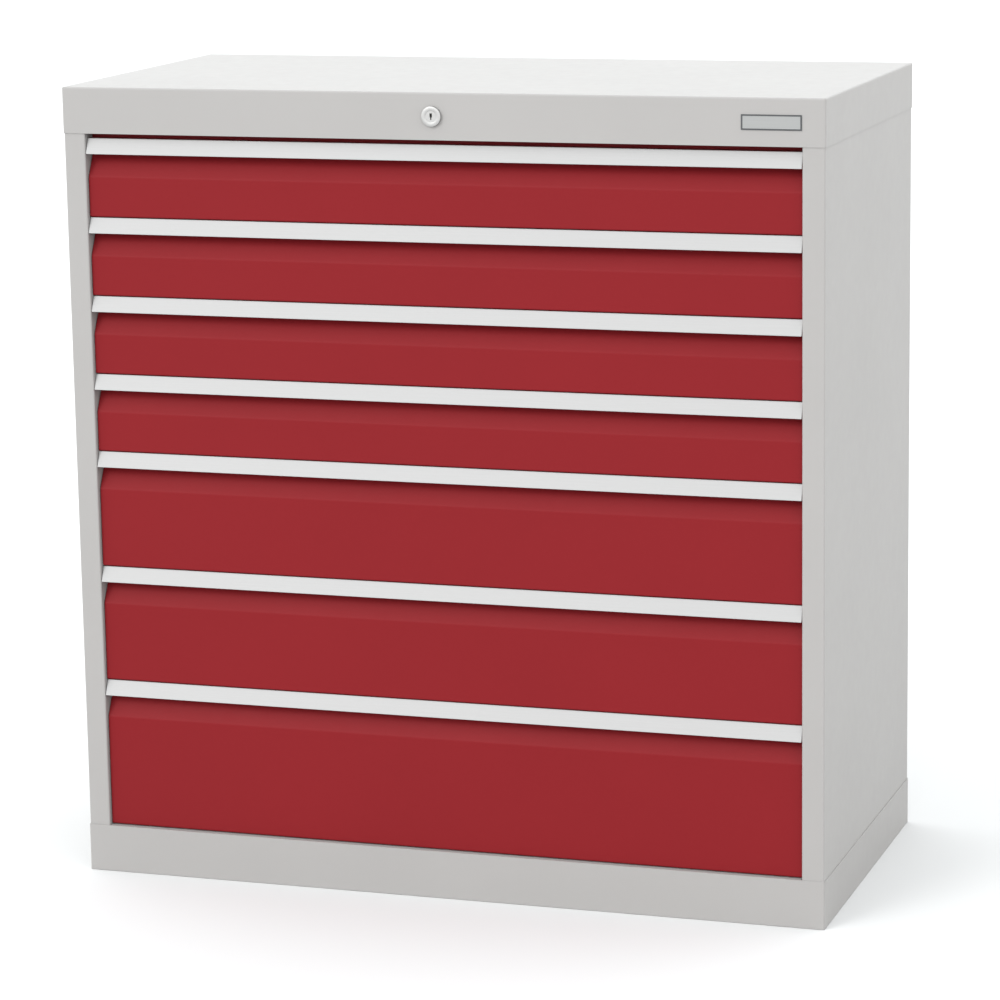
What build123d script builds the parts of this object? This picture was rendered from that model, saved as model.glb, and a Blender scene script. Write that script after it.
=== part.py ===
from build123d import *
import math
import os

# A floor-standing workshop cabinet of folded sheet steel with seven full-width drawers.
# Millimetres. X runs across the front, +Y to the back, +Z up. The origin is on the floor,
# in the middle of the box round the whole cabinet, lock included.

# Casing
WIDTH = 980.0
DEPTH = 490.0
HEIGHT = 1019.0
SHEET = 1.0
HOOD_HEIGHT = 58.0
BASE_HEIGHT = 61.0
STILE_WIDTH = 29.0
JAMB_DEPTH = 25.0
JAMB_RETURN = 10.0
REAR_FLANGE = 25.0
LIP_DEPTH = 12.0
CORNER_RADIUS = 2.5
EDGE_RADIUS = 2.0
BEND_RADIUS = 2.0
DECK_DROP = 3.0
DECK_GAP = 2.0

# Drawers, from the top down
MODULE_HEIGHTS = [100.0, 100.0, 100.0, 100.0, 150.0, 150.0, 200.0]
BOX_WIDTH = 902.0
BOX_DEPTH = 402.0
BOX_WALL = 1.0
BOX_LIFT = 5.0
BOX_TOP_GAP = 17.0
HEM_HEIGHT = 10.0
HEM_STEP = 1.2

# Drawer front, measured down from its module's top and back from the hood's front
FRONT_GAP = 1.0
FRONT_TOP = 6.5
FIRST_FRONT_TOP = 1.5
FRONT_OVERLAP = 5.5
LAST_FRONT_GAP = 1.0
PANEL_SETBACK = 7.0
RECESS_SETBACK = 22.5
RECESS_TOP = 26.0
RECESS_BEND = 6.0
SLOPE_BOTTOM = 54.8
CHEEK_TOP = 30.0
FRONT_RETURN = 12.0
LIP_BOTTOM = 16.0

# Handle strip
STRIP_GAP = 0.7
STRIP_TOP = 6.5
STRIP_BOTTOM = 25.8
STRIP_LEAN = 7.4
STRIP_THICKNESS = 1.9
STRIP_LAND = 1.0
CLIP_THICKNESS = 1.6
CLIP_BOTTOM = 16.5

# Runners
RAIL_LIFT = 33.0
RAIL_SHEET = 1.5
INNER_RAIL_DEPTH = 6.0
OUTER_RAIL_DEPTH = 8.0
CHANNEL_HALF = 12.2
CARRIAGE_HALF = 15.0
CARRIAGE_PLATE = 2.0
RAIL_PLAY = 0.5
INNER_RAIL_LENGTH = 400.0
OUTER_RAIL_LENGTH = 440.0
OUTER_RAIL_SETBACK = 38.0
HOOK_WIDTH = 5.0
HOOK_DROP = 4.0
HOOK_RISE = 5.7
HOOK_REACH = 3.0
ROLLER_RADIUS = 11.8
ROLLER_BORE = 3.1
ROLLER_WEB_GAP = 0.6
ROLLER_PLATE_GAP = 0.3
PIN_RADIUS = 3.0
INNER_ROLLERS_Y = [-200.0, -40.0]
OUTER_ROLLERS_Y = [45.0, 215.0]

# Columns
COLUMN_WIDTH = 40.0
COLUMN_SHEET = 1.5
FRONT_COLUMN_Y = -175.0
REAR_COLUMN_Y = 190.0
SLOT_PITCH = 25.0
SLOT_HEIGHT = 12.0
SLOT_WIDTH = 5.6
SCREW_RADIUS = 2.5
SCREW_HOLE_RADIUS = 2.7
SCREW_HEAD_RADIUS = 4.5
SCREW_HEAD_HEIGHT = 2.6
NUT_SIZE = 9.0
NUT_THICKNESS = 3.0

# Central lock
LOCK_Z = 990.0
COLLAR_RADIUS = 12.5
COLLAR_HEIGHT = 4.0
COLLAR_CHAMFER = 1.2
SLEEVE_RADIUS = 9.5
SLEEVE_LENGTH = 20.0
LOCK_NUT_HALF = 13.5
PLUG_RADIUS = 7.0
PLUG_CLEARANCE = 0.05
PLUG_RECESS = 0.4
KEYHOLE_WIDTH = 3.0
KEYHOLE_TOP = 4.0
KEYHOLE_STEP = -1.0
KEYHOLE_FOOT_WIDTH = 1.4
KEYHOLE_BOTTOM = -4.0
KEYHOLE_DEPTH = 14.0
CAM_RADIUS = 12.0
CAM_THICKNESS = 3.0
ARM_RADIUS = 6.0
HUB_RADIUS = 8.0
STUD_RADIUS = 4.0
BAR_PIN_RADIUS = 2.5
BAR_SLOT_RADIUS = 2.9
PIN_STEP = 1.2
LOCK_TURN = 90.0
LINKAGE_GAP = 2.0
LAYER_GAP = 1.5
LUG_GAP = 1.0
BRACKET_STEP = 2.5
BRACKET_SHEET = 2.0
BRACKET_SPAN = (-9.0, 11.0)
BRACKET_DROP = 10.0
BRACKET_FOOT = 20.0
ROD_Z = 1000.0
ROD_HEIGHT = 16.0
ROD_THICKNESS = 2.0
ROD_END = 8.0
CAM_SLOT = (-2.0, 2.5)
CAM_SLOT_RADIUS = 3.7
CRANK_SLOT = (-1.6, 0.4)
CRANK_SLOT_RADIUS = 3.4
CRANK_Z = 970.0
CRANK_TO_BAR = 18.0
CRANK_TO_ROD = 30.0
CRANK_TIP = 19.5
BAR_SLOT = (17.5, 19.3)
BAR_THICKNESS = 3.0
BAR_WIDTH = 18.0
BAR_BOTTOM = 105.0
BAR_TOP = 948.0
FINGER_LIFT = 50.0
FINGER_HEIGHT = 10.0
TAB_LIFT = 61.5
TAB_HEIGHT = 11.0
TAB_FOOT = 14.0
TAB_REACH = 7.5
FINGER_OVERLAP = 3.0
TAB_SETBACK = 3.0
GUIDE_HEIGHTS = [220.0, 530.0, 850.0]
GUIDE_HALF = 7.0
GUIDE_WALL = 1.5
GUIDE_PLAY = 0.2

# Name plate
PLATE_WIDTH = 74.0
PLATE_HEIGHT = 18.6
PLATE_THICKNESS = 1.0
PLATE_RIM = 1.2
PLATE_FIELD_DEPTH = 0.4
PLATE_Z = 989.7

# Places worked out from the sizes above
FRONT = COLLAR_HEIGHT - (DEPTH + COLLAR_HEIGHT) / 2
BACK = FRONT + DEPTH
STILE_FACE = FRONT + SHEET
SIDE_FACE = WIDTH / 2 - SHEET
SIDE_INSIDE = SIDE_FACE - SHEET
OPENING_HALF = WIDTH / 2 - STILE_WIDTH
OPENING_TOP = HEIGHT - HOOD_HEIGHT
JAMB_BACK = STILE_FACE + JAMB_DEPTH
PANEL_FACE = FRONT + PANEL_SETBACK
RECESS_FACE = FRONT + RECESS_SETBACK
BOX_FRONT = RECESS_FACE + SHEET
BOX_HALF = BOX_WIDTH / 2
CARRIAGE_IN = BOX_HALF + INNER_RAIL_DEPTH + RAIL_PLAY
CARRIAGE_OUT = CARRIAGE_IN + CARRIAGE_PLATE
OUTER_RAIL_IN = CARRIAGE_OUT + RAIL_PLAY
COLUMN_FACE = OUTER_RAIL_IN + OUTER_RAIL_DEPTH
OUTER_RAIL_FRONT = FRONT + OUTER_RAIL_SETBACK
BAR_X = COLUMN_FACE + LINKAGE_GAP + BAR_THICKNESS / 2
BAR_FRONT = JAMB_BACK + LINKAGE_GAP
BAR_BACK = BAR_FRONT + BAR_WIDTH
CRANK_X = CRANK_TO_BAR - BAR_X
ROD_SWING = CAM_RADIUS * math.sin(math.radians(LOCK_TURN / 2))
CRANK_SWING = math.degrees(math.asin(ROD_SWING / CRANK_TO_ROD))
BAR_SWING = CRANK_TO_BAR * math.tan(math.radians(CRANK_SWING))
CAM_FRONT = FRONT + SHEET + SLEEVE_LENGTH + LINKAGE_GAP
ROD_FRONT = CAM_FRONT + CAM_THICKNESS + LAYER_GAP
CRANK_FRONT = ROD_FRONT + ROD_THICKNESS + LAYER_GAP
LUG_FRONT = CRANK_FRONT + CAM_THICKNESS + LUG_GAP
BRACKET_FRONT = LUG_FRONT + BRACKET_STEP


def module_spans():
    """The bottom and top of each drawer's module, from the top drawer down."""
    spans = []
    top = OPENING_TOP
    for height in MODULE_HEIGHTS:
        spans.append((top - height, top))
        top -= height
    return spans


def block(x, y, z):
    """A rectangular block from three (low, high) pairs."""
    size = [high - low for low, high in (x, y, z)]
    centre = [(high + low) / 2 for low, high in (x, y, z)]
    return Pos(*centre) * Box(*size)


def rod_along_y(radius, x, z, y):
    """A round bar parallel to Y between the two ends of the pair y."""
    middle = Pos(x, (y[0] + y[1]) / 2, z)
    return middle * Rot(90, 0, 0) * Cylinder(radius, y[1] - y[0])


def rod_along_x(radius, y, z, x):
    """A round bar parallel to X between the two ends of the pair x."""
    middle = Pos((x[0] + x[1]) / 2, y, z)
    return middle * Rot(0, 90, 0) * Cylinder(radius, x[1] - x[0])


def folded_sheet(points, radii, thickness, side):
    """The section of a folded sheet: a line with round bends, thickened to one side."""
    line = FilletPolyline(*points, radius=radii)
    outline = offset(line, thickness, side=side, kind=Kind.ARC, closed=True)
    return make_face(outline)


def extrude_in_x(section, low, high):
    """Extrude a section drawn in (Y, Z) from one X to another."""
    return Pos(low, 0, 0) * extrude(Plane.YZ * section, high - low)


def extrude_in_y(section, low, high):
    """Extrude a section drawn in (X, Z) from one Y to another."""
    return Pos(0, high, 0) * extrude(Plane.XZ * section, high - low)


def extrude_in_z(section, low, high):
    """Extrude a section drawn in (X, Y) from one Z to another."""
    return Pos(0, 0, low) * extrude(section, high - low)


def with_mirror(solids):
    """The solids of the right side and their mirror images on the left."""
    return solids + [mirror(solid, about=Plane.YZ) for solid in solids]


def casing_block(low, high):
    """A solid slice of the cabinet's outline with rounded corners."""
    solid = block((-WIDTH / 2, WIDTH / 2), (FRONT, BACK), (low, high))
    return fillet(solid.edges().filter_by(Axis.Z), CORNER_RADIUS)


def opening_lip(low):
    """The strip folded inwards along the drawer opening's top or bottom edge."""
    half = OPENING_HALF - FRONT_GAP
    return block((-half, half), (STILE_FACE, FRONT + LIP_DEPTH), (low, low + SHEET))


def make_top_cover():
    """The hood: a tray open below, with a lip over the top drawer and a hole for the lock."""
    solid = casing_block(OPENING_TOP, HEIGHT)
    solid = fillet(solid.faces().sort_by(Axis.Z)[-1].edges(), EDGE_RADIUS)
    hood = offset(solid, -SHEET, openings=solid.faces().sort_by(Axis.Z)[0])
    hood += opening_lip(OPENING_TOP)
    return hood - rod_along_y(SLEEVE_RADIUS, 0, LOCK_Z, (FRONT - 1, STILE_FACE + 1))


def make_base_tray():
    """The plinth: a tray open above, with a lip below the bottom drawer."""
    solid = casing_block(0, BASE_HEIGHT)
    tray = offset(solid, -SHEET, openings=solid.faces().sort_by(Axis.Z)[-1])
    return tray + opening_lip(BASE_HEIGHT - SHEET)


def make_side_panel():
    """The right side: jamb return, jamb, stile, side and rear flange in one folded sheet."""
    rear = BACK - SHEET
    points = [
        (OPENING_HALF + JAMB_RETURN, JAMB_BACK),
        (OPENING_HALF, JAMB_BACK),
        (OPENING_HALF, STILE_FACE),
        (SIDE_FACE, STILE_FACE),
        (SIDE_FACE, rear),
        (SIDE_FACE - REAR_FLANGE, rear),
    ]
    section = folded_sheet(points, BEND_RADIUS, SHEET, Side.LEFT)
    return extrude_in_z(section, SHEET, HEIGHT - EDGE_RADIUS)


def make_back_panel():
    """A sheet between the side panels' rear flanges and the drawers, folded at top and bottom."""
    rear = BACK - 2 * SHEET
    low, high = SHEET, HEIGHT - SHEET
    points = [(rear - LIP_DEPTH, low), (rear, low), (rear, high), (rear - LIP_DEPTH, high)]
    section = folded_sheet(points, BEND_RADIUS, SHEET, Side.LEFT)
    half = SIDE_INSIDE - BEND_RADIUS
    return extrude_in_x(section, -half, half)


def make_floor_panel():
    """A deck just below the lowest drawer, standing on its two folded legs."""
    front_leg = FRONT + LIP_DEPTH + DECK_GAP
    rear_leg = BACK - 3 * SHEET - LIP_DEPTH - BEND_RADIUS
    deck = BASE_HEIGHT - DECK_DROP
    points = [(rear_leg, SHEET), (rear_leg, deck), (front_leg, deck), (front_leg, SHEET)]
    section = folded_sheet(points, BEND_RADIUS, SHEET, Side.LEFT)
    half = OPENING_HALF - FRONT_GAP
    return extrude_in_x(section, -half, half)


def slot_heights():
    """The heights of a column's slots, one of which is level with each drawer's runners."""
    lowest = BASE_HEIGHT + RAIL_LIFT
    count = int((OPENING_TOP - lowest) // SLOT_PITCH) + 1
    return [lowest + SLOT_PITCH * step for step in range(count)]


def make_column(y):
    """A right-hand column: a channel open towards the side panel, slotted on its face."""
    low, high = y - COLUMN_WIDTH / 2, y + COLUMN_WIDTH / 2
    points = [(SIDE_INSIDE, high), (COLUMN_FACE, high), (COLUMN_FACE, low), (SIDE_INSIDE, low)]
    section = folded_sheet(points, BEND_RADIUS, COLUMN_SHEET, Side.LEFT)
    column = extrude_in_z(section, SHEET, HEIGHT - SHEET)
    face = (COLUMN_FACE - 1, COLUMN_FACE + COLUMN_SHEET + 1)
    slot = block(face, (y - SLOT_WIDTH / 2, y + SLOT_WIDTH / 2), (-SLOT_HEIGHT / 2, SLOT_HEIGHT / 2))
    return column - [Pos(0, 0, z) * slot for z in slot_heights()]


def make_columns():
    return with_mirror([make_column(FRONT_COLUMN_Y), make_column(REAR_COLUMN_Y)])


def make_rail_screws():
    """One screw through each outer rail's front end into the front column, with its nut."""
    pieces = []
    web = COLUMN_FACE - RAIL_SHEET
    head = (web - SCREW_HEAD_HEIGHT, web)
    nut_face = COLUMN_FACE + COLUMN_SHEET
    half = NUT_SIZE / 2
    for bottom, _ in module_spans():
        z = bottom + RAIL_LIFT
        screw = rod_along_x(SCREW_HEAD_RADIUS, FRONT_COLUMN_Y, z, head)
        screw += rod_along_x(SCREW_RADIUS, FRONT_COLUMN_Y, z, (web, nut_face + NUT_THICKNESS + 1))
        nut = block(
            (nut_face, nut_face + NUT_THICKNESS),
            (FRONT_COLUMN_Y - half, FRONT_COLUMN_Y + half),
            (z - half, z + half),
        )
        nut -= rod_along_x(SCREW_RADIUS, FRONT_COLUMN_Y, z, (nut_face - 1, nut_face + NUT_THICKNESS + 1))
        pieces += [screw, nut]
    return with_mirror(pieces)


def make_box(bottom, top):
    """A drawer's open box with a hem outside its rim."""
    low, high = bottom + BOX_LIFT, top - BOX_TOP_GAP
    rear = BOX_FRONT + BOX_DEPTH
    box = block((-BOX_HALF, BOX_HALF), (BOX_FRONT, rear), (low, high))
    hem_half = BOX_HALF + HEM_STEP
    box += block((-hem_half, hem_half), (BOX_FRONT, rear + HEM_STEP), (high - HEM_HEIGHT, high))
    inside = BOX_HALF - BOX_WALL
    return box - block((-inside, inside), (BOX_FRONT + BOX_WALL, rear - BOX_WALL), (low + BOX_WALL, high + 1))


def slope_y(drop):
    """The Y of the finger recess's sloping face, at a drop below the module's top."""
    share = (SLOPE_BOTTOM - drop) / (SLOPE_BOTTOM - RECESS_TOP)
    return PANEL_FACE + share * (RECESS_FACE - PANEL_FACE)


def make_front(bottom, top):
    """A drawer's sheet front: bottom return, panel, sloping finger recess and lip behind the strip."""
    half = OPENING_HALF - FRONT_GAP
    under = top - FRONT_TOP - SHEET
    lip_back = STILE_FACE + STRIP_LEAN + STRIP_LAND + SHEET
    points = [
        (PANEL_FACE + FRONT_RETURN, bottom),
        (PANEL_FACE, bottom),
        (PANEL_FACE, top - SLOPE_BOTTOM),
        (RECESS_FACE, top - RECESS_TOP),
        (RECESS_FACE, under),
        (lip_back, under),
        (lip_back, top - LIP_BOTTOM),
    ]
    section = folded_sheet(points, [BEND_RADIUS, RECESS_BEND, RECESS_BEND, SHEET, SHEET], SHEET, Side.RIGHT)
    front = extrude_in_x(section, -half, half)
    cheek = make_face(Polyline(
        (BOX_FRONT, bottom + SHEET),
        (PANEL_FACE + SHEET, bottom + SHEET),
        (PANEL_FACE + SHEET, top - SLOPE_BOTTOM - SHEET),
        (slope_y(CHEEK_TOP) + SHEET, top - CHEEK_TOP - SHEET),
        (BOX_FRONT, top - CHEEK_TOP - SHEET),
        close=True,
    ))
    for low, high in ((-half, SHEET - half), (half - SHEET, half)):
        front += extrude_in_x(cheek, low, high)
    return front


def make_first_front(bottom, top):
    """The top drawer's front, with a riser that closes the gap below the hood."""
    half = OPENING_HALF - FRONT_GAP
    riser = (top - FRONT_TOP - SHEET, top - FIRST_FRONT_TOP)
    return make_front(bottom, top) + block((-half, half), (RECESS_FACE, BOX_FRONT), riser)


def make_handle(top):
    """The slanted handle strip and behind it the clip that lies on the front's top lip."""
    half = OPENING_HALF - STRIP_GAP
    low, high = top - STRIP_BOTTOM, top - STRIP_TOP
    clip_back = STILE_FACE + STRIP_LEAN + STRIP_LAND
    clip_front = clip_back - CLIP_THICKNESS
    steepness = (high - low) / STRIP_LEAN
    heel = STILE_FACE + STRIP_THICKNESS
    seam = low + (clip_front - STILE_FACE) * steepness
    strip = make_face(Polyline(
        (STILE_FACE, low),
        (clip_front, seam),
        (clip_front, low + (clip_front - heel) * steepness),
        (heel, low),
        close=True,
    ))
    clip = make_face(Polyline(
        (clip_front, seam),
        (STILE_FACE + STRIP_LEAN, high),
        (clip_back, high),
        (clip_back, top - CLIP_BOTTOM),
        (clip_front, top - CLIP_BOTTOM),
        close=True,
    ))
    return [extrude_in_x(section, -half, half) for section in (strip, clip)]


def channel(x_back, x_open, z):
    """The section of a rail: a channel whose web is at x_back and whose mouth is at x_open."""
    half = CHANNEL_HALF + RAIL_SHEET
    side = Side.LEFT if x_back > x_open else Side.RIGHT
    points = [(x_open, z - half), (x_back, z - half), (x_back, z + half), (x_open, z + half)]
    return folded_sheet(points, BEND_RADIUS, RAIL_SHEET, side)


def make_catch_tab(bottom):
    """The angle on the box's left side that the lock bar's finger stops."""
    front = BAR_FRONT + BAR_THICKNESS + TAB_SETBACK
    z = (bottom + TAB_LIFT, bottom + TAB_LIFT + TAB_HEIGHT)
    tab = block((-BOX_HALF - TAB_REACH, -BOX_HALF), (front, front + BAR_THICKNESS), z)
    return tab + block((-BOX_HALF - BOX_WALL, -BOX_HALF), (front, front + TAB_FOOT), z)


def make_inner_rails(bottom):
    """The rails on the drawer's box, with its catch tab."""
    z = bottom + RAIL_LIFT
    section = channel(BOX_HALF, BOX_HALF + INNER_RAIL_DEPTH, z)
    rails = with_mirror([extrude_in_y(section, BOX_FRONT, BOX_FRONT + INNER_RAIL_LENGTH)])
    return rails + [make_catch_tab(bottom)]


def make_outer_rails(bottom):
    """The fixed rails, each with a screw hole in front and a hook for the rear column."""
    z = bottom + RAIL_LIFT
    section = channel(COLUMN_FACE, OUTER_RAIL_IN, z)
    rail = extrude_in_y(section, OUTER_RAIL_FRONT, OUTER_RAIL_FRONT + OUTER_RAIL_LENGTH)
    web = (COLUMN_FACE - RAIL_SHEET, COLUMN_FACE)
    rail -= rod_along_x(SCREW_HOLE_RADIUS, FRONT_COLUMN_Y, z, (web[0] - 1, web[1] + 1))
    hook_x = (web[0], COLUMN_FACE + COLUMN_SHEET + HOOK_REACH)
    hook_y = (REAR_COLUMN_Y - HOOK_WIDTH / 2, REAR_COLUMN_Y + HOOK_WIDTH / 2)
    rail += block(hook_x, hook_y, (z - HOOK_DROP, z + HOOK_RISE))
    return with_mirror([rail])


def make_roller(y, z, x):
    """A roller on its carriage pin, between the two ends of the pair x."""
    return rod_along_x(ROLLER_RADIUS, y, z, x) - rod_along_x(ROLLER_BORE, y, z, (x[0] - 1, x[1] + 1))


def make_middle_rails(bottom):
    """The carriages: a plate between the two channels, with rollers that run in each of them."""
    z = bottom + RAIL_LIFT
    plate = block(
        (CARRIAGE_IN, CARRIAGE_OUT),
        (OUTER_RAIL_FRONT, OUTER_RAIL_FRONT + OUTER_RAIL_LENGTH),
        (z - CARRIAGE_HALF, z + CARRIAGE_HALF),
    )
    inner_x = (BOX_HALF + RAIL_SHEET + ROLLER_WEB_GAP, CARRIAGE_IN - ROLLER_PLATE_GAP)
    outer_x = (CARRIAGE_OUT + ROLLER_PLATE_GAP, COLUMN_FACE - RAIL_SHEET - ROLLER_WEB_GAP)
    rollers = []
    for y in INNER_ROLLERS_Y:
        plate += rod_along_x(PIN_RADIUS, y, z, (inner_x[0], CARRIAGE_IN))
        rollers.append(make_roller(y, z, inner_x))
    for y in OUTER_ROLLERS_Y:
        plate += rod_along_x(PIN_RADIUS, y, z, (CARRIAGE_OUT, outer_x[1]))
        rollers.append(make_roller(y, z, outer_x))
    return with_mirror([plate] + rollers)


def make_lock_housing():
    """The lock's collar on the fascia and its threaded sleeve behind, bored for the plug."""
    rear = STILE_FACE + SLEEVE_LENGTH
    collar = rod_along_y(COLLAR_RADIUS, 0, LOCK_Z, (FRONT - COLLAR_HEIGHT, FRONT))
    collar = chamfer(collar.faces().sort_by(Axis.Y)[0].edges(), COLLAR_CHAMFER)
    housing = collar + rod_along_y(SLEEVE_RADIUS, 0, LOCK_Z, (FRONT, rear))
    bore = PLUG_RADIUS + PLUG_CLEARANCE
    return housing - rod_along_y(bore, 0, LOCK_Z, (FRONT - COLLAR_HEIGHT - 1, rear + 1))


def make_lock_nut():
    hexagon = RegularPolygon(LOCK_NUT_HALF, 6, major_radius=False)
    nut = extrude_in_y(Pos(0, LOCK_Z) * hexagon, STILE_FACE, STILE_FACE + COLLAR_HEIGHT)
    return nut - rod_along_y(SLEEVE_RADIUS, 0, LOCK_Z, (FRONT, STILE_FACE + COLLAR_HEIGHT + 1))


def make_lock_plug():
    """The turning plug with its keyhole: an upright slot with a narrower foot."""
    face = FRONT - COLLAR_HEIGHT + PLUG_RECESS
    plug = rod_along_y(PLUG_RADIUS, 0, LOCK_Z, (face, CAM_FRONT))
    depth = (face - 1, face + KEYHOLE_DEPTH)
    step = LOCK_Z + KEYHOLE_STEP
    half, foot = KEYHOLE_WIDTH / 2, KEYHOLE_FOOT_WIDTH / 2
    plug -= block((-half, half), depth, (step, LOCK_Z + KEYHOLE_TOP))
    return plug - block((-foot, foot), depth, (LOCK_Z + KEYHOLE_BOTTOM, step + 1))


def arm(x0, z0, x1, z1, radius, y):
    """A flat arm with round ends between two points of the XZ plane."""
    length = math.hypot(x1 - x0, z1 - z0)
    angle = math.degrees(math.atan2(z1 - z0, x1 - x0))
    section = Pos(x0, z0) * Rot(0, 0, angle) * Pos(length / 2, 0) * SlotCenterToCenter(length, 2 * radius)
    return extrude_in_y(section, y[0], y[1])


def make_lock_cam():
    """The lever on the plug's rear end, with the pin that pushes the rod."""
    turn = math.radians(LOCK_TURN / 2)
    pin_x = -CAM_RADIUS * math.sin(turn)
    pin_z = LOCK_Z + CAM_RADIUS * math.cos(turn)
    rear = CAM_FRONT + CAM_THICKNESS
    cam = arm(0, LOCK_Z, pin_x, pin_z, ARM_RADIUS, (CAM_FRONT, rear))
    cam += rod_along_y(HUB_RADIUS, 0, LOCK_Z, (CAM_FRONT, rear))
    cam += rod_along_y(STUD_RADIUS, 0, LOCK_Z, (rear, rear + PIN_STEP))
    return cam + rod_along_y(PIN_RADIUS, pin_x, pin_z, (rear, ROD_FRONT + ROD_THICKNESS + 1))


def make_lock_rod():
    """The flat rod behind the fascia, slotted at both ends for the cam's and the crank's pins."""
    y = (ROD_FRONT, ROD_FRONT + ROD_THICKNESS)
    left_pin = CRANK_X - ROD_SWING
    right_pin = -ROD_SWING
    half = ROD_HEIGHT / 2
    rod = block((left_pin - ROD_END, right_pin + ROD_END), y, (ROD_Z - half, ROD_Z + half))
    cut = (y[0] - 1, y[1] + 1)
    rod -= arm(left_pin, ROD_Z + CRANK_SLOT[0], left_pin, ROD_Z + CRANK_SLOT[1], CRANK_SLOT_RADIUS, cut)
    return rod - arm(right_pin, ROD_Z + CAM_SLOT[0], right_pin, ROD_Z + CAM_SLOT[1], CAM_SLOT_RADIUS, cut)


def make_bell_crank():
    """The crank at rest: its short arm leans down to the bar and its long arm up to the rod."""
    swing = math.radians(CRANK_SWING)
    y = (CRANK_FRONT, CRANK_FRONT + CAM_THICKNESS)
    rod_x = CRANK_X - CRANK_TO_ROD * math.sin(swing)
    rod_z = CRANK_Z + CRANK_TO_ROD * math.cos(swing)
    tip_x = CRANK_X - CRANK_TIP * math.cos(swing)
    tip_z = CRANK_Z - CRANK_TIP * math.sin(swing)
    crank = arm(CRANK_X, CRANK_Z, tip_x, tip_z, ARM_RADIUS, y)
    crank += arm(CRANK_X, CRANK_Z, rod_x, rod_z, ARM_RADIUS, y)
    crank += rod_along_y(HUB_RADIUS, CRANK_X, CRANK_Z, y)
    crank += rod_along_y(PIN_RADIUS, rod_x, rod_z, (ROD_FRONT - 1, CRANK_FRONT))
    crank -= rod_along_y(STUD_RADIUS + PLUG_CLEARANCE, CRANK_X, CRANK_Z, (y[0] - 1, y[1] + 1))
    near, far = BAR_SLOT
    return crank - arm(
        CRANK_X - near * math.cos(swing), CRANK_Z - near * math.sin(swing),
        CRANK_X - far * math.cos(swing), CRANK_Z - far * math.sin(swing),
        BAR_SLOT_RADIUS, (y[0] - 1, y[1] + 1),
    )


def make_crank_bracket():
    """An angle under the hood with the stud that the crank turns on."""
    y = (BRACKET_FRONT, BRACKET_FRONT + BRACKET_SHEET)
    x = (CRANK_X + BRACKET_SPAN[0], CRANK_X + BRACKET_SPAN[1])
    ceiling = HEIGHT - SHEET
    bracket = block(x, y, (CRANK_Z - BRACKET_DROP, ceiling))
    bracket += block(x, (y[0], y[0] + BRACKET_FOOT), (ceiling - BRACKET_SHEET, ceiling))
    return bracket + rod_along_y(STUD_RADIUS, CRANK_X, CRANK_Z, (CRANK_FRONT - 1, y[0]))


def make_lock_bar():
    """The upright bar on the left, a finger for each drawer's tab, and a head for the crank."""
    low_x, high_x = -BAR_X - BAR_THICKNESS / 2, -BAR_X + BAR_THICKNESS / 2
    pieces = [block((low_x, high_x), (BAR_FRONT, BAR_BACK), (BAR_BOTTOM, BAR_TOP))]
    finger_x = (high_x, FINGER_OVERLAP - TAB_REACH - BOX_HALF)
    finger_y = (BAR_FRONT, BAR_FRONT + BAR_THICKNESS)
    for bottom, _ in module_spans():
        z = (bottom + FINGER_LIFT, bottom + FINGER_LIFT + FINGER_HEIGHT)
        pieces.append(block(finger_x, finger_y, z))
    pin_z = CRANK_Z - BAR_SWING
    lug_y = (LUG_FRONT, LUG_FRONT + BAR_THICKNESS)
    head = block((low_x, high_x), (LUG_FRONT, BAR_BACK), (BAR_TOP, pin_z + ARM_RADIUS))
    lug_x = (-BAR_X - ARM_RADIUS, -BAR_X + ARM_RADIUS)
    head += block(lug_x, lug_y, (pin_z - ARM_RADIUS, pin_z + ARM_RADIUS))
    head += rod_along_y(BAR_PIN_RADIUS, -BAR_X, pin_z, (CRANK_FRONT - 1, LUG_FRONT))
    return pieces + [head]


def make_bar_guides():
    """Plastic blocks on the left side panel, each with a slot that the bar slides in."""
    x = (-SIDE_INSIDE, -COLUMN_FACE - 2 * GUIDE_PLAY)
    y = (BAR_FRONT - GUIDE_WALL, BAR_BACK + GUIDE_WALL)
    slot_x = (-BAR_X - BAR_THICKNESS / 2 - GUIDE_PLAY, -BAR_X + BAR_THICKNESS / 2 + GUIDE_PLAY)
    slot_y = (BAR_FRONT - GUIDE_PLAY, BAR_BACK + GUIDE_PLAY)
    guides = []
    for height in GUIDE_HEIGHTS:
        guide = block(x, y, (height - GUIDE_HALF, height + GUIDE_HALF))
        slot = block(slot_x, slot_y, (height - GUIDE_HALF - 1, height + GUIDE_HALF + 1))
        guides.append(guide - slot)
    return guides


def make_name_plate():
    """A small plate at the fascia's right end: a raised rim round a bare field."""
    right = OPENING_HALF
    half = PLATE_HEIGHT / 2
    face = FRONT - PLATE_THICKNESS
    plate = block((right - PLATE_WIDTH, right), (face, FRONT), (PLATE_Z - half, PLATE_Z + half))
    field_z = (PLATE_Z - half + PLATE_RIM, PLATE_Z + half - PLATE_RIM)
    field = block((right - PLATE_WIDTH + PLATE_RIM, right - PLATE_RIM), (face - 1, face + PLATE_FIELD_DEPTH), field_z)
    return plate - field


def write_node(name, solids):
    """Write one node: a single solid, or a group of separate solids."""
    shape = Compound(children=solids) if isinstance(solids, list) else solids
    export_step(shape, os.path.join("parts", name + ".step"))


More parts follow.
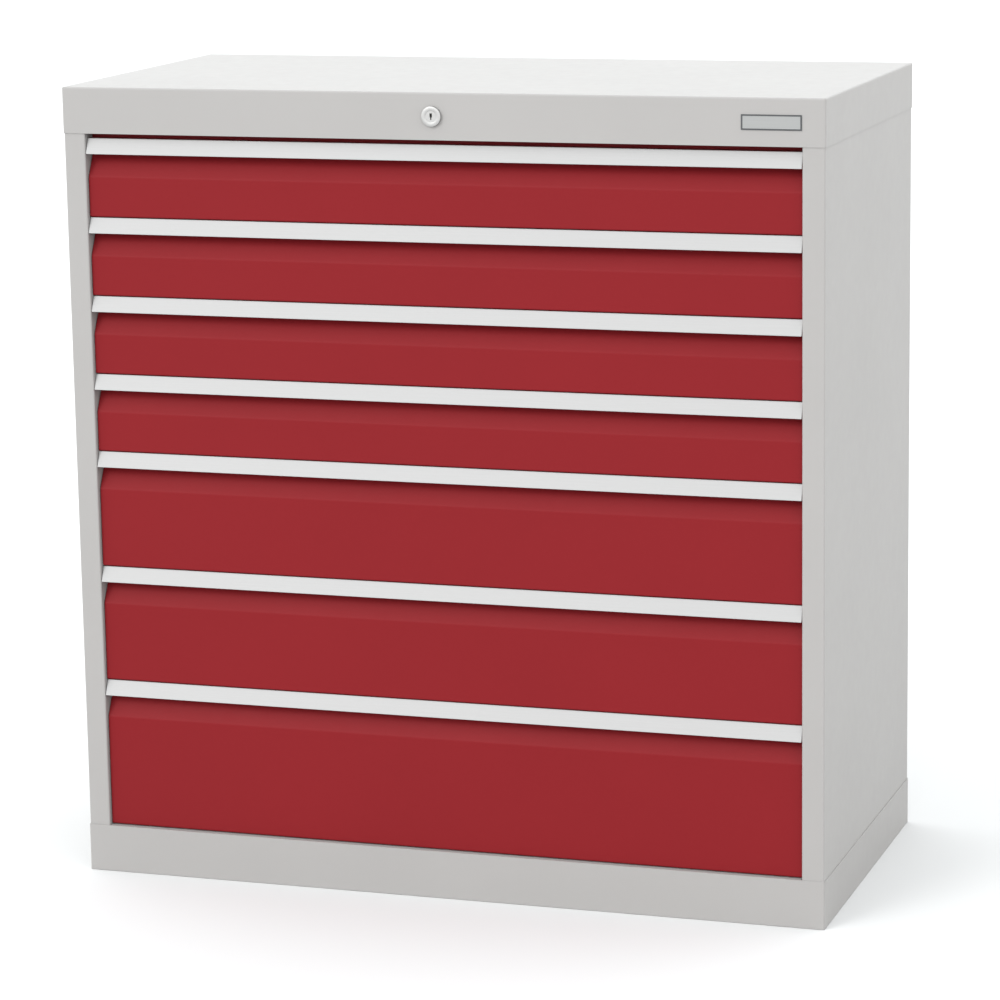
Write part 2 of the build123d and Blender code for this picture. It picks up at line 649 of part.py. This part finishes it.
def main():
    os.makedirs("parts", exist_ok=True)
    right_side = make_side_panel()
    nodes = {
        "top_cover": make_top_cover(),
        "base_tray": make_base_tray(),
        "side_panel_right": right_side,
        "side_panel_left": mirror(right_side, about=Plane.YZ),
        "back_panel": make_back_panel(),
        "floor_panel": make_floor_panel(),
        "columns": make_columns(),
        "rail_screws": make_rail_screws(),
        "name_plate": make_name_plate(),
        "lock_housing": make_lock_housing(),
        "lock_nut": make_lock_nut(),
        "lock_plug": make_lock_plug(),
        "lock_cam": make_lock_cam(),
        "lock_rod": make_lock_rod(),
        "bell_crank": make_bell_crank(),
        "crank_bracket": make_crank_bracket(),
        "lock_bar": make_lock_bar(),
        "bar_guides": make_bar_guides(),
    }
    spans = module_spans()
    for number, (bottom, top) in enumerate(spans, start=1):
        is_last = number == len(spans)
        front_bottom = bottom + LAST_FRONT_GAP if is_last else bottom - FRONT_OVERLAP
        nodes[f"drawer_{number}_box"] = make_box(bottom, top)
        front = make_first_front if number == 1 else make_front
        nodes[f"drawer_{number}_front"] = front(front_bottom, top)
        nodes[f"drawer_{number}_handle"] = make_handle(top)
        nodes[f"drawer_{number}_inner_rails"] = make_inner_rails(bottom)
        nodes[f"drawer_{number}_middle_rails"] = make_middle_rails(bottom)
        nodes[f"drawer_{number}_outer_rails"] = make_outer_rails(bottom)
    for name, solids in nodes.items():
        write_node(name, solids)
    print(f"{len(nodes)} nodes; lock bar travels {2 * BAR_SWING:.3f}, rod {2 * ROD_SWING:.3f}")


if __name__ == "__main__":
    main()
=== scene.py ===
import math

import bmesh
import bpy
from mathutils import Matrix, Vector


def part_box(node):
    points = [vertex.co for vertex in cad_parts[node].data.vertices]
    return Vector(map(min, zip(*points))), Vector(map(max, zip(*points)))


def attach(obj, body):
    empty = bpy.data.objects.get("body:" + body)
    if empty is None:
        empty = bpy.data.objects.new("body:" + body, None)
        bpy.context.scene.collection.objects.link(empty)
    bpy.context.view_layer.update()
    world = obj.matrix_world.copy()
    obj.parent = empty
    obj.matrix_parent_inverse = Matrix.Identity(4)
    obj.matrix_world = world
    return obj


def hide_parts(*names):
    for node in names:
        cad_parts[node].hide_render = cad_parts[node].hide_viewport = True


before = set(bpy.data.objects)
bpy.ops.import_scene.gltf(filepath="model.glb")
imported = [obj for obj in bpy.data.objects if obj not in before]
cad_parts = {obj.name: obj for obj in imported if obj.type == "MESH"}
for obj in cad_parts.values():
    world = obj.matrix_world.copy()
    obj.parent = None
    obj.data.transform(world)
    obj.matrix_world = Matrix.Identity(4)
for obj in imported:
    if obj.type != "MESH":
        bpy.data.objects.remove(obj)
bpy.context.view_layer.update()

# A floor-standing workshop cabinet of grey powder-coated steel with seven red drawers.
# Metres. X runs across the front, +Y to the back, +Z up. The origin is on the floor.

# Camera
CAMERA_AT = (1.5082, -4.5958, 1.4477)
CAMERA_AZIMUTH = 18.169
CAMERA_ELEVATION = 11.465
CAMERA_ROLL = -0.891
CAMERA_LENS = 136.54
SENSOR_WIDTH = 36.0
FARTHEST_SEEN = 200.0

# Light and floor. Angles in degrees, the azimuth counted from the front to the right.
SKY_HORIZON = (2.50, 2.50, 2.50, 1.0)
SKY_ZENITH = (1.84, 1.93, 1.97, 1.0)
KEY_STRENGTH = 1.3
KEY_AZIMUTH = -30.0
KEY_ELEVATION = 28.0
KEY_SPREAD = 25.0
FLOOR_RADIUS = 60.0
FLOOR_SIDES = 64
FLOOR_DROP = 0.0005

# Edges, angles in radians
SHARP_ANGLE = 0.5
SMOOTH_ANGLE = math.radians(32)

# Drawer boxes
PITCH = 0.025
SLOTS_ACROSS = 35
SLOTS_ALONG = 15
SLOT_HALF = 0.0011
SLOT_LIFT = 0.012
SLOT_DROP = 0.022
WALL = 0.001
HEM_STEP = 0.0012
HEM_HEIGHT = 0.010
HEM_RETURN = 0.003
FRONT_STEP = 0.0005

# Handle strips
STRIP_LEAN = 0.0074
STRIP_EDGE = 0.0019
CLIP_THICKNESS = 0.0016
CLIP_DROP = 0.010
EDGE_ROUND = 0.0003

# Carriages
CARRIAGE_PLATE = (0.4575, 0.4595)
CARRIAGE_FRONT = -0.205
INNER_ROLLERS = (-0.200, -0.040)
OUTER_ROLLERS = (0.045, 0.215)
INNER_ROLLER_SPAN = (0.4531, 0.4572)
OUTER_ROLLER_SPAN = (0.4598, 0.4659)
ROLLER_RADIUS = 0.0118
ROLLER_SIDES = 40
PIN_RADIUS = 0.003
PIN_SIDES = 24
LIGHTENING = (-0.165, -0.075, 0.085, 0.175)
LIGHTENING_HALF = 0.0045
CARRIAGE_ROUND = 0.0002

# Screws through the outer rails
SCREW_Y = -0.175
RAIL_WEB = 0.4665
NUT_FACE = 0.4695
HEAD_SIDES = 32
NUT_SIDES = 6
SHANK_SIDES = 24

# Lock and plate
LOCK_Z = 0.990
FASCIA = -0.243
BORE = 0.00705
COLLAR_SIDES = 72
THREAD_CREST = 0.0095
THREAD_ROOT = 0.0090
THREAD_TURNS = 16
THREAD_START = 0.002
THREAD_END = 0.001
PLATE_RIM = 0.0018
FIELD_SINK = 0.0004
FIELD_ROUND = 0.0001

DRAWERS = range(1, 8)


# Materials
class Graph:
    """A material's nodes, laid out as they are asked for."""

    def __init__(self, name, **sockets):
        self.material = bpy.data.materials.new(name)
        self.material.use_nodes = True
        self.tree = self.material.node_tree
        self.shader = self.tree.nodes["Principled BSDF"]
        for socket, value in sockets.items():
            self.shader.inputs[socket.replace("_", " ")].default_value = value
        self.where = self.add("ShaderNodeTexCoord").outputs["Object"]

    def add(self, kind, **settings):
        node = self.tree.nodes.new(kind)
        for setting, value in settings.items():
            setattr(node, setting, value)
        return node

    def join(self, output, target):
        self.tree.links.new(output, target)

    def stretched(self, scale):
        mapping = self.add("ShaderNodeMapping")
        mapping.inputs["Scale"].default_value = scale
        self.join(self.where, mapping.inputs["Vector"])
        return mapping.outputs["Vector"]

    def noise(self, scale, detail=2.0, where=None):
        noise = self.add("ShaderNodeTexNoise")
        noise.inputs["Scale"].default_value = scale
        noise.inputs["Detail"].default_value = detail
        self.join(where or self.where, noise.inputs["Vector"])
        return noise.outputs["Fac"]

    def cells(self, scale, where=None):
        cells = self.add("ShaderNodeTexVoronoi")
        cells.inputs["Scale"].default_value = scale
        self.join(where or self.where, cells.inputs["Vector"])
        return cells.outputs["Color"]

    def colour(self, factor, dark, light):
        ramp = self.add("ShaderNodeValToRGB")
        ramp.color_ramp.elements[0].position = 0.3
        ramp.color_ramp.elements[1].position = 0.7
        ramp.color_ramp.elements[0].color = (*dark, 1.0)
        ramp.color_ramp.elements[1].color = (*light, 1.0)
        self.join(factor, ramp.inputs["Fac"])
        self.join(ramp.outputs["Color"], self.shader.inputs["Base Color"])

    def roughness(self, factor, low, high):
        spread = self.add("ShaderNodeMapRange")
        spread.inputs["To Min"].default_value = low
        spread.inputs["To Max"].default_value = high
        self.join(factor, spread.inputs["Value"])
        self.join(spread.outputs["Result"], self.shader.inputs["Roughness"])

    def relief(self, layers):
        """Bumps of (height, depth in metres), one on another."""
        below = None
        for height, depth in layers:
            bump = self.add("ShaderNodeBump")
            bump.inputs["Distance"].default_value = depth
            self.join(height, bump.inputs["Height"])
            if below:
                self.join(below, bump.inputs["Normal"])
            below = bump.outputs["Normal"]
        self.join(below, self.shader.inputs["Normal"])


def shade(colour, share):
    return tuple(channel * share for channel in colour)


def powder_coat(name, colour, gloss, specular):
    """Baked powder: fine orange peel, faint clouds in the colour and an uneven gloss."""
    graph = Graph(name, Specular_IOR_Level=specular)
    graph.colour(graph.noise(7.0, 3.0), shade(colour, 0.985), shade(colour, 1.015))
    graph.roughness(graph.noise(60.0), gloss - 0.04, gloss + 0.04)
    graph.relief([(graph.noise(420.0), 0.00004), (graph.noise(1500.0), 0.00002)])
    return graph.material


def brushed_metal(name, colour, gloss, metallic, along, grain):
    """Drawn or brushed metal, its grain running along one axis."""
    graph = Graph(name, Metallic=metallic, Specular_IOR_Level=0.3)
    streaks = graph.noise(grain, 4.0, graph.stretched(along))
    graph.colour(streaks, shade(colour, 0.96), shade(colour, 1.02))
    graph.roughness(streaks, gloss - 0.05, gloss + 0.05)
    graph.relief([(streaks, 0.00001)])
    return graph.material


def zinc_plate(name, colour):
    """Passivated zinc: patches of slightly different brightness and a fine pebbling."""
    graph = Graph(name, Metallic=1.0)
    graph.colour(graph.cells(55.0), shade(colour, 0.9), shade(colour, 1.06))
    graph.roughness(graph.noise(30.0), 0.3, 0.42)
    graph.relief([(graph.noise(900.0), 0.00002)])
    return graph.material


def moulded_plastic(name, colour):
    graph = Graph(name, Specular_IOR_Level=0.4)
    graph.colour(graph.noise(20.0), shade(colour, 0.94), shade(colour, 1.05))
    graph.roughness(graph.noise(200.0), 0.42, 0.52)
    graph.relief([(graph.noise(2200.0), 0.00003)])
    return graph.material


GREY = powder_coat("cabinet_grey", (0.270, 0.261, 0.254), 0.5, 0.3)
RED = powder_coat("front_red", (0.1585, 0.0088, 0.0115), 0.5, 0.08)
BOX_GREY = powder_coat("box_grey", (0.29, 0.29, 0.285), 0.48, 0.3)
ALUMINIUM = brushed_metal("strip_aluminium", (0.296, 0.293, 0.291), 0.55, 0.45, (1.0, 60.0, 60.0), 14.0)
NICKEL = brushed_metal("lock_nickel", (0.38, 0.377, 0.37), 0.42, 0.85, (40.0, 1.0, 40.0), 30.0)
PLATE = brushed_metal("plate_aluminium", (0.27, 0.274, 0.27), 0.5, 0.6, (1.0, 60.0, 60.0), 24.0)
ZINC = zinc_plate("zinc_plated_steel", (0.46, 0.467, 0.475))
PLASTIC = moulded_plastic("guide_plastic", (0.42, 0.415, 0.385))
RIM = moulded_plastic("plate_rim", (0.05, 0.052, 0.055))

NODE_MATERIALS = {
    "top_cover": GREY, "base_tray": GREY, "side_panel_left": GREY, "side_panel_right": GREY,
    "back_panel": GREY, "floor_panel": GREY, "columns": ZINC, "rail_screws": ZINC,
    "name_plate": PLATE, "lock_housing": NICKEL, "lock_nut": ZINC, "lock_plug": NICKEL,
    "lock_cam": ZINC, "lock_rod": ZINC, "bell_crank": ZINC, "crank_bracket": ZINC,
    "lock_bar": ZINC, "bar_guides": PLASTIC,
}
DRAWER_MATERIALS = {
    "box": BOX_GREY, "front": RED, "handle": ALUMINIUM,
    "inner_rails": ZINC, "middle_rails": ZINC, "outer_rails": ZINC,
}


def dress(node, material):
    """Give a CAD node its material."""
    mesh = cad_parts[node].data
    mesh.materials.clear()
    mesh.materials.append(material)


for node, material in NODE_MATERIALS.items():
    dress(node, material)
for number in DRAWERS:
    for part, material in DRAWER_MATERIALS.items():
        dress(f"drawer_{number}_{part}", material)


# Mesh building
def spot(axis, along, u, v):
    """A point given by its place along an axis and its two places across it."""
    return {"X": (along, u, v), "Y": (u, along, v), "Z": (u, v, along)}[axis]


def join_rings(mesh, near, far):
    for step in range(len(near)):
        after = (step + 1) % len(near)
        mesh.faces.new((near[step], near[after], far[after], far[step]))


def prism(mesh, section, axis, low, high):
    """Add a polygon carried along an axis."""
    near = [mesh.verts.new(spot(axis, low, u, v)) for u, v in section]
    far = [mesh.verts.new(spot(axis, high, u, v)) for u, v in section]
    mesh.faces.new(near)
    mesh.faces.new(far[::-1])
    join_rings(mesh, near, far)


def bar(mesh, x, y, z):
    """Add a flat bar between three (low, high) pairs."""
    section = [(x[0], y[0]), (x[1], y[0]), (x[1], y[1]), (x[0], y[1])]
    prism(mesh, section, "Z", *z)


def turned(mesh, profile, axis, centre, steps, hollow=False):
    """Add a turned form: (radius, along) points swung round an axis through centre."""
    angles = [math.tau * (step + 0.5) / steps for step in range(steps)]
    rings = []
    for radius, along in profile:
        ring = []
        for angle in angles:
            u = centre[0] + radius * math.cos(angle)
            v = centre[1] + radius * math.sin(angle)
            ring.append(mesh.verts.new(spot(axis, along, u, v)))
        rings.append(ring)
    for near, far in zip(rings, rings[1:]):
        join_rings(mesh, near, far)
    if hollow:
        join_rings(mesh, rings[-1], rings[0])
    else:
        mesh.faces.new(rings[0])
        mesh.faces.new(rings[-1][::-1])


def pierced_sheet(mesh, us, vs, openings, corner):
    """Add a sheet on a grid of cells, some of them left open.

    corner(u, v, side) gives a grid point's place on the sheet's near or far side.
    """
    made = {}

    def vertex(i, j, side):
        if (i, j, side) not in made:
            made[i, j, side] = mesh.verts.new(corner(us[i], vs[j], side))
        return made[i, j, side]

    cells = {(i, j) for i in range(len(us) - 1) for j in range(len(vs) - 1)} - openings
    for i, j in sorted(cells):
        around = [(i, j), (i + 1, j), (i + 1, j + 1), (i, j + 1)]
        mesh.faces.new([vertex(a, b, 0) for a, b in around])
        mesh.faces.new([vertex(a, b, 1) for a, b in reversed(around)])
        neighbours = [(i, j - 1), (i + 1, j), (i, j + 1), (i - 1, j)]
        for step, neighbour in enumerate(neighbours):
            if neighbour not in cells:
                near, far = around[step], around[(step + 1) % 4]
                mesh.faces.new((vertex(*near, 1), vertex(*far, 1), vertex(*far, 0), vertex(*near, 0)))


def round_edges(mesh, size, steps=2):
    """Bevel the edges where faces meet at a clear angle."""
    bmesh.ops.recalc_face_normals(mesh, faces=mesh.faces)
    sharp = [e for e in mesh.edges if len(e.link_faces) == 2 and e.calc_face_angle() > SHARP_ANGLE]
    bmesh.ops.bevel(mesh, geom=sharp, offset=size, segments=steps, affect="EDGES", clamp_overlap=True)


def finish_piece(name, mesh, body, material, smooth=False):
    """Turn the mesh into an object that rides on a body and takes a slot's finish."""
    bmesh.ops.recalc_face_normals(mesh, faces=mesh.faces)
    data = bpy.data.meshes.new(name)
    mesh.to_mesh(data)
    mesh.free()
    data.materials.append(material)
    if smooth:
        data.shade_smooth()
        data.set_sharp_from_angle(angle=SMOOTH_ANGLE)
    piece = bpy.data.objects.new(name, data)
    bpy.context.scene.collection.objects.link(piece)
    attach(piece, body)
    return piece


# Drawers
def wall_lines(low, high, first, slots):
    """Grid lines along a wall, with a narrow cell for each slot."""
    lines = [low]
    for step in range(slots):
        middle = first + PITCH * step
        lines += [middle - SLOT_HALF, middle + SLOT_HALF]
    return lines + [high]


def wall_levels(low, high, drop):
    """Grid lines up a wall whose top edge lies a drop below the rim."""
    return [low, low + SLOT_LIFT, high - SLOT_DROP, high - drop]


def slot_cells(lines):
    """The cells left open in the wall's middle row."""
    return {(column, 1) for column in range(1, len(lines) - 1, 2)}


def hem_section(wall, outward, high):
    """The rim's folded-over hem: flat outside, rounded on top. outward is 1 or -1."""
    low = high - HEM_HEIGHT
    reach = [
        (0.0, low), (HEM_STEP, low), (HEM_STEP, high - 0.0009), (0.0009, high - 0.0002),
        (0.0004, high), (-0.0004, high), (-0.0008, high - 0.0003), (-WALL, high - 0.0009),
        (-WALL, high - HEM_RETURN), (0.0, high - HEM_RETURN),
    ]
    return [(wall + outward * step, z) for step, z in reach]


def make_tray(number):
    """A drawer's sheet box: slotted walls, a flat floor and a hemmed rim."""
    lowest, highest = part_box(f"drawer_{number}_box")
    low, high, front = lowest.z, highest.z, lowest.y
    half, rear = highest.x - HEM_STEP, highest.y - HEM_STEP
    mesh = bmesh.new()
    across = wall_lines(-half, half, -(SLOTS_ACROSS // 2) * PITCH, SLOTS_ACROSS)
    for y, drop in ((front, FRONT_STEP), (rear - WALL, HEM_RETURN)):
        levels = wall_levels(low, high, drop)
        pierced_sheet(mesh, across, levels, slot_cells(across), lambda u, v, side: (u, y + side * WALL, v))
    along = wall_lines(front + WALL, rear - WALL, front + PITCH, SLOTS_ALONG)
    levels = wall_levels(low, high, HEM_RETURN)
    for x in (-half, half - WALL):
        pierced_sheet(mesh, along, levels, slot_cells(along), lambda u, v, side: (x + side * WALL, u, v))
    bar(mesh, (WALL - half, half - WALL), (front + WALL, rear - WALL), (low, low + WALL))
    prism(mesh, hem_section(half, 1, high), "Y", front, rear)
    prism(mesh, hem_section(-half, -1, high), "Y", front, rear)
    prism(mesh, hem_section(rear, 1, high), "X", -half - HEM_STEP, half + HEM_STEP)
    tray = finish_piece(f"drawer_{number}_tray", mesh, f"drawer_{number}", BOX_GREY)
    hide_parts(f"drawer_{number}_box")


def make_strip(number):
    """The slanted aluminium strip with softened edges and its clip leg behind."""
    lowest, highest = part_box(f"drawer_{number}_handle")
    front, back, low, high = lowest.y, highest.y, lowest.z, highest.z
    crest = front + STRIP_LEAN
    leg = back - CLIP_THICKNESS
    heel = front + STRIP_EDGE
    slope = (high - low) / STRIP_LEAN
    section = [
        (front, low), (crest, high), (back, high), (back, high - CLIP_DROP),
        (leg, high - CLIP_DROP), (leg, low + (leg - heel) * slope), (heel, low),
    ]
    mesh = bmesh.new()
    prism(mesh, section, "X", lowest.x, highest.x)
    round_edges(mesh, EDGE_ROUND, 3)
    strip = finish_piece(
        f"drawer_{number}_strip", mesh, f"drawer_{number}", ALUMINIUM, smooth=True
    )
    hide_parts(f"drawer_{number}_handle")


def mirrored(span, side):
    """A (low, high) pair on the left (-1) or the right (1), in rising order."""
    return tuple(sorted((side * span[0], side * span[1])))


def roller_profile(near, far):
    """A roller's section from one face to the other: crowned rim, dished faces, bored."""
    return [
        (PIN_RADIUS, near), (0.0048, near), (0.0052, near + 0.0005), (0.0088, near + 0.0005),
        (0.0092, near), (0.0110, near), (ROLLER_RADIUS, near + 0.0007),
        (ROLLER_RADIUS, far - 0.0007), (0.0110, far), (0.0092, far), (0.0088, far - 0.0005),
        (0.0052, far - 0.0005), (0.0048, far), (PIN_RADIUS, far),
    ]


def pin_profile(low, high):
    """A rivet with dimpled ends."""
    return [
        (0.0012, low + 0.0004), (0.0020, low), (PIN_RADIUS, low + 0.0002),
        (PIN_RADIUS, high - 0.0002), (0.0020, high), (0.0012, high - 0.0004),
    ]


def make_carriage(number):
    """The carriages between a drawer's rails: lightened plates with riveted rollers."""
    node = f"drawer_{number}_middle_rails"
    lowest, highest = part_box(node)
    rear, low, high = highest.y, lowest.z, highest.z
    middle = (low + high) / 2
    body = f"carriage_{number}"
    plates = bmesh.new()
    rollers = bmesh.new()
    lines = [CARRIAGE_FRONT, *LIGHTENING, rear]
    levels = [low, middle - LIGHTENING_HALF, middle + LIGHTENING_HALF, high]
    windows = {(1, 1), (3, 1)}
    inner_pin = (INNER_ROLLER_SPAN[0], CARRIAGE_PLATE[1])
    outer_pin = (CARRIAGE_PLATE[0], OUTER_ROLLER_SPAN[1])
    for side in (-1, 1):
        face, back = mirrored(CARRIAGE_PLATE, side)
        pierced_sheet(plates, lines, levels, windows, lambda u, v, far: (back if far else face, u, v))
        for places, span, pin in (
            (INNER_ROLLERS, INNER_ROLLER_SPAN, inner_pin),
            (OUTER_ROLLERS, OUTER_ROLLER_SPAN, outer_pin),
        ):
            for y in places:
                roller = roller_profile(*mirrored(span, side))
                rivet = pin_profile(*mirrored(pin, side))
                turned(rollers, roller, "X", (y, middle), ROLLER_SIDES, hollow=True)
                turned(plates, rivet, "X", (y, middle), PIN_SIDES)
    round_edges(plates, CARRIAGE_ROUND, 1)
    plate = finish_piece(f"drawer_{number}_carriages", plates, body, ZINC)
    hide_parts(node)
    finish_piece(f"drawer_{number}_rollers", rollers, body, PLASTIC, smooth=True)


def make_rail_screws():
    """The pan-head screws through the outer rails' front ends, with their hexagon nuts."""
    head = [
        (0.0014, RAIL_WEB - 0.0012), (0.0017, RAIL_WEB - 0.0026), (0.0032, RAIL_WEB - 0.0026),
        (0.0041, RAIL_WEB - 0.0020), (0.0045, RAIL_WEB - 0.0010), (0.0045, RAIL_WEB),
    ]
    nut = [
        (0.0024, NUT_FACE), (0.0046, NUT_FACE), (0.0051, NUT_FACE + 0.0004),
        (0.0051, NUT_FACE + 0.0026), (0.0046, NUT_FACE + 0.003), (0.0024, NUT_FACE + 0.003),
    ]
    shank = [(0.0025, RAIL_WEB), (0.0025, NUT_FACE + 0.0037), (0.0021, NUT_FACE + 0.004)]
    parts = ((head, HEAD_SIDES, False), (nut, NUT_SIDES, True), (shank, SHANK_SIDES, False))
    mesh = bmesh.new()
    for number in DRAWERS:
        lowest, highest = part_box(f"drawer_{number}_outer_rails")
        centre = (SCREW_Y, (lowest.z + highest.z) / 2)
        for side in (-1, 1):
            for profile, sides, hollow in parts:
                placed = [(radius, side * x) for radius, x in profile]
                turned(mesh, placed, "X", centre, sides, hollow)
    screws = finish_piece("rail_screw_set", mesh, "cabinet", ZINC)
    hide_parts("rail_screws")


# Lock and plate
def make_collar():
    """The lock's collar, a flat disc with a softened rim, and the thread behind it."""
    lowest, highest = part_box("lock_housing")
    face, radius, end = lowest.y, highest.x, highest.y
    profile = [
        (BORE, end), (BORE, face + 0.0003), (0.0073, face + 0.0001), (0.0076, face),
        (radius - 0.0009, face), (radius - 0.0003, face + 0.0002), (radius, face + 0.0007),
        (radius, FASCIA), (THREAD_CREST, FASCIA),
    ]
    pitch = (end - FASCIA - THREAD_START - THREAD_END) / THREAD_TURNS
    for turn in range(THREAD_TURNS):
        start = FASCIA + THREAD_START + turn * pitch
        profile += [(THREAD_CREST, start), (THREAD_ROOT, start + pitch / 2)]
    profile.append((THREAD_ROOT, end))
    mesh = bmesh.new()
    turned(mesh, profile, "Y", (0.0, LOCK_Z), COLLAR_SIDES, hollow=True)
    collar = finish_piece("lock_collar", mesh, "cabinet", NICKEL, smooth=True)
    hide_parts("lock_housing")


def make_plate():
    """The small plate on the fascia: a dark rim pressed round a bare satin field."""
    lowest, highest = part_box("name_plate")
    left, right, low, high = lowest.x, highest.x, lowest.z, highest.z
    face, back = lowest.y, highest.y
    rim = bmesh.new()
    xs = [left, left + PLATE_RIM, right - PLATE_RIM, right]
    zs = [low, low + PLATE_RIM, high - PLATE_RIM, high]
    pierced_sheet(rim, xs, zs, {(1, 1)}, lambda u, v, side: (u, back if side else face, v))
    round_edges(rim, EDGE_ROUND)
    frame_piece = finish_piece("plate_rim", rim, "cabinet", RIM, smooth=True)
    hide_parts("name_plate")
    field = bmesh.new()
    bar(field, (xs[1], xs[2]), (face + FIELD_SINK, back), (zs[1], zs[2]))
    round_edges(field, FIELD_ROUND)
    finish_piece("plate_field", field, "cabinet", PLATE, smooth=True)


for number in DRAWERS:
    make_tray(number)
    make_strip(number)
    make_carriage(number)
make_rail_screws()
make_collar()
make_plate()


# Floor, light and camera
def make_floor():
    """A plain pale floor, a hair below the cabinet's foot."""
    mesh = bmesh.new()
    bmesh.ops.create_circle(mesh, cap_ends=True, segments=FLOOR_SIDES, radius=FLOOR_RADIUS)
    data = bpy.data.meshes.new("floor")
    mesh.to_mesh(data)
    mesh.free()
    floor = bpy.data.objects.new("floor", data)
    floor.location.z = -FLOOR_DROP
    bpy.context.scene.collection.objects.link(floor)
    graph = Graph("studio_floor", Specular_IOR_Level=0.0)
    graph.colour(graph.noise(0.5), (0.560, 0.557, 0.555), (0.570, 0.567, 0.565))
    graph.roughness(graph.noise(3.0), 0.9, 1.0)
    data.materials.append(graph.material)


def make_sky():
    """An even white studio, a little dimmer and cooler overhead."""
    world = bpy.data.worlds.new("studio")
    world.use_nodes = True
    tree = world.node_tree
    where = tree.nodes.new("ShaderNodeTexCoord")
    parts = tree.nodes.new("ShaderNodeSeparateXYZ")
    height = tree.nodes.new("ShaderNodeValToRGB")
    height.color_ramp.elements[0].color = SKY_HORIZON
    height.color_ramp.elements[1].color = SKY_ZENITH
    sky = tree.nodes["Background"]
    tree.links.new(where.outputs["Generated"], parts.inputs["Vector"])
    tree.links.new(parts.outputs["Z"], height.inputs["Fac"])
    tree.links.new(height.outputs["Color"], sky.inputs["Color"])
    bpy.context.scene.world = world


def make_key():
    """One wide, soft, far-off light from the front left."""
    lamp = bpy.data.lights.new("key", "SUN")
    lamp.energy = KEY_STRENGTH
    lamp.angle = math.radians(KEY_SPREAD)
    light = bpy.data.objects.new("key", lamp)
    light.rotation_euler = (math.radians(90.0 - KEY_ELEVATION), 0.0, math.radians(KEY_AZIMUTH))
    bpy.context.scene.collection.objects.link(light)


def make_camera():
    """The photograph's viewpoint, found from the cabinet's edges."""
    azimuth = math.radians(CAMERA_AZIMUTH)
    elevation = math.radians(CAMERA_ELEVATION)
    roll = math.radians(CAMERA_ROLL)
    forward = Vector((
        -math.sin(azimuth) * math.cos(elevation),
        math.cos(azimuth) * math.cos(elevation),
        -math.sin(elevation),
    ))
    level = Vector((math.cos(azimuth), math.sin(azimuth), 0.0))
    upright = level.cross(forward)
    right = math.cos(roll) * level + math.sin(roll) * upright
    up = math.cos(roll) * upright - math.sin(roll) * level
    turn = Matrix((right, up, -forward)).transposed()
    lens = bpy.data.cameras.new("camera")
    lens.lens = CAMERA_LENS
    lens.sensor_width = SENSOR_WIDTH
    lens.clip_end = FARTHEST_SEEN
    camera = bpy.data.objects.new("camera", lens)
    camera.matrix_world = Matrix.Translation(CAMERA_AT) @ turn.to_4x4()
    bpy.context.scene.collection.objects.link(camera)
    bpy.context.scene.camera = camera


make_floor()
make_sky()
make_key()
make_camera()
bpy.context.scene.view_settings.view_transform = "Standard"
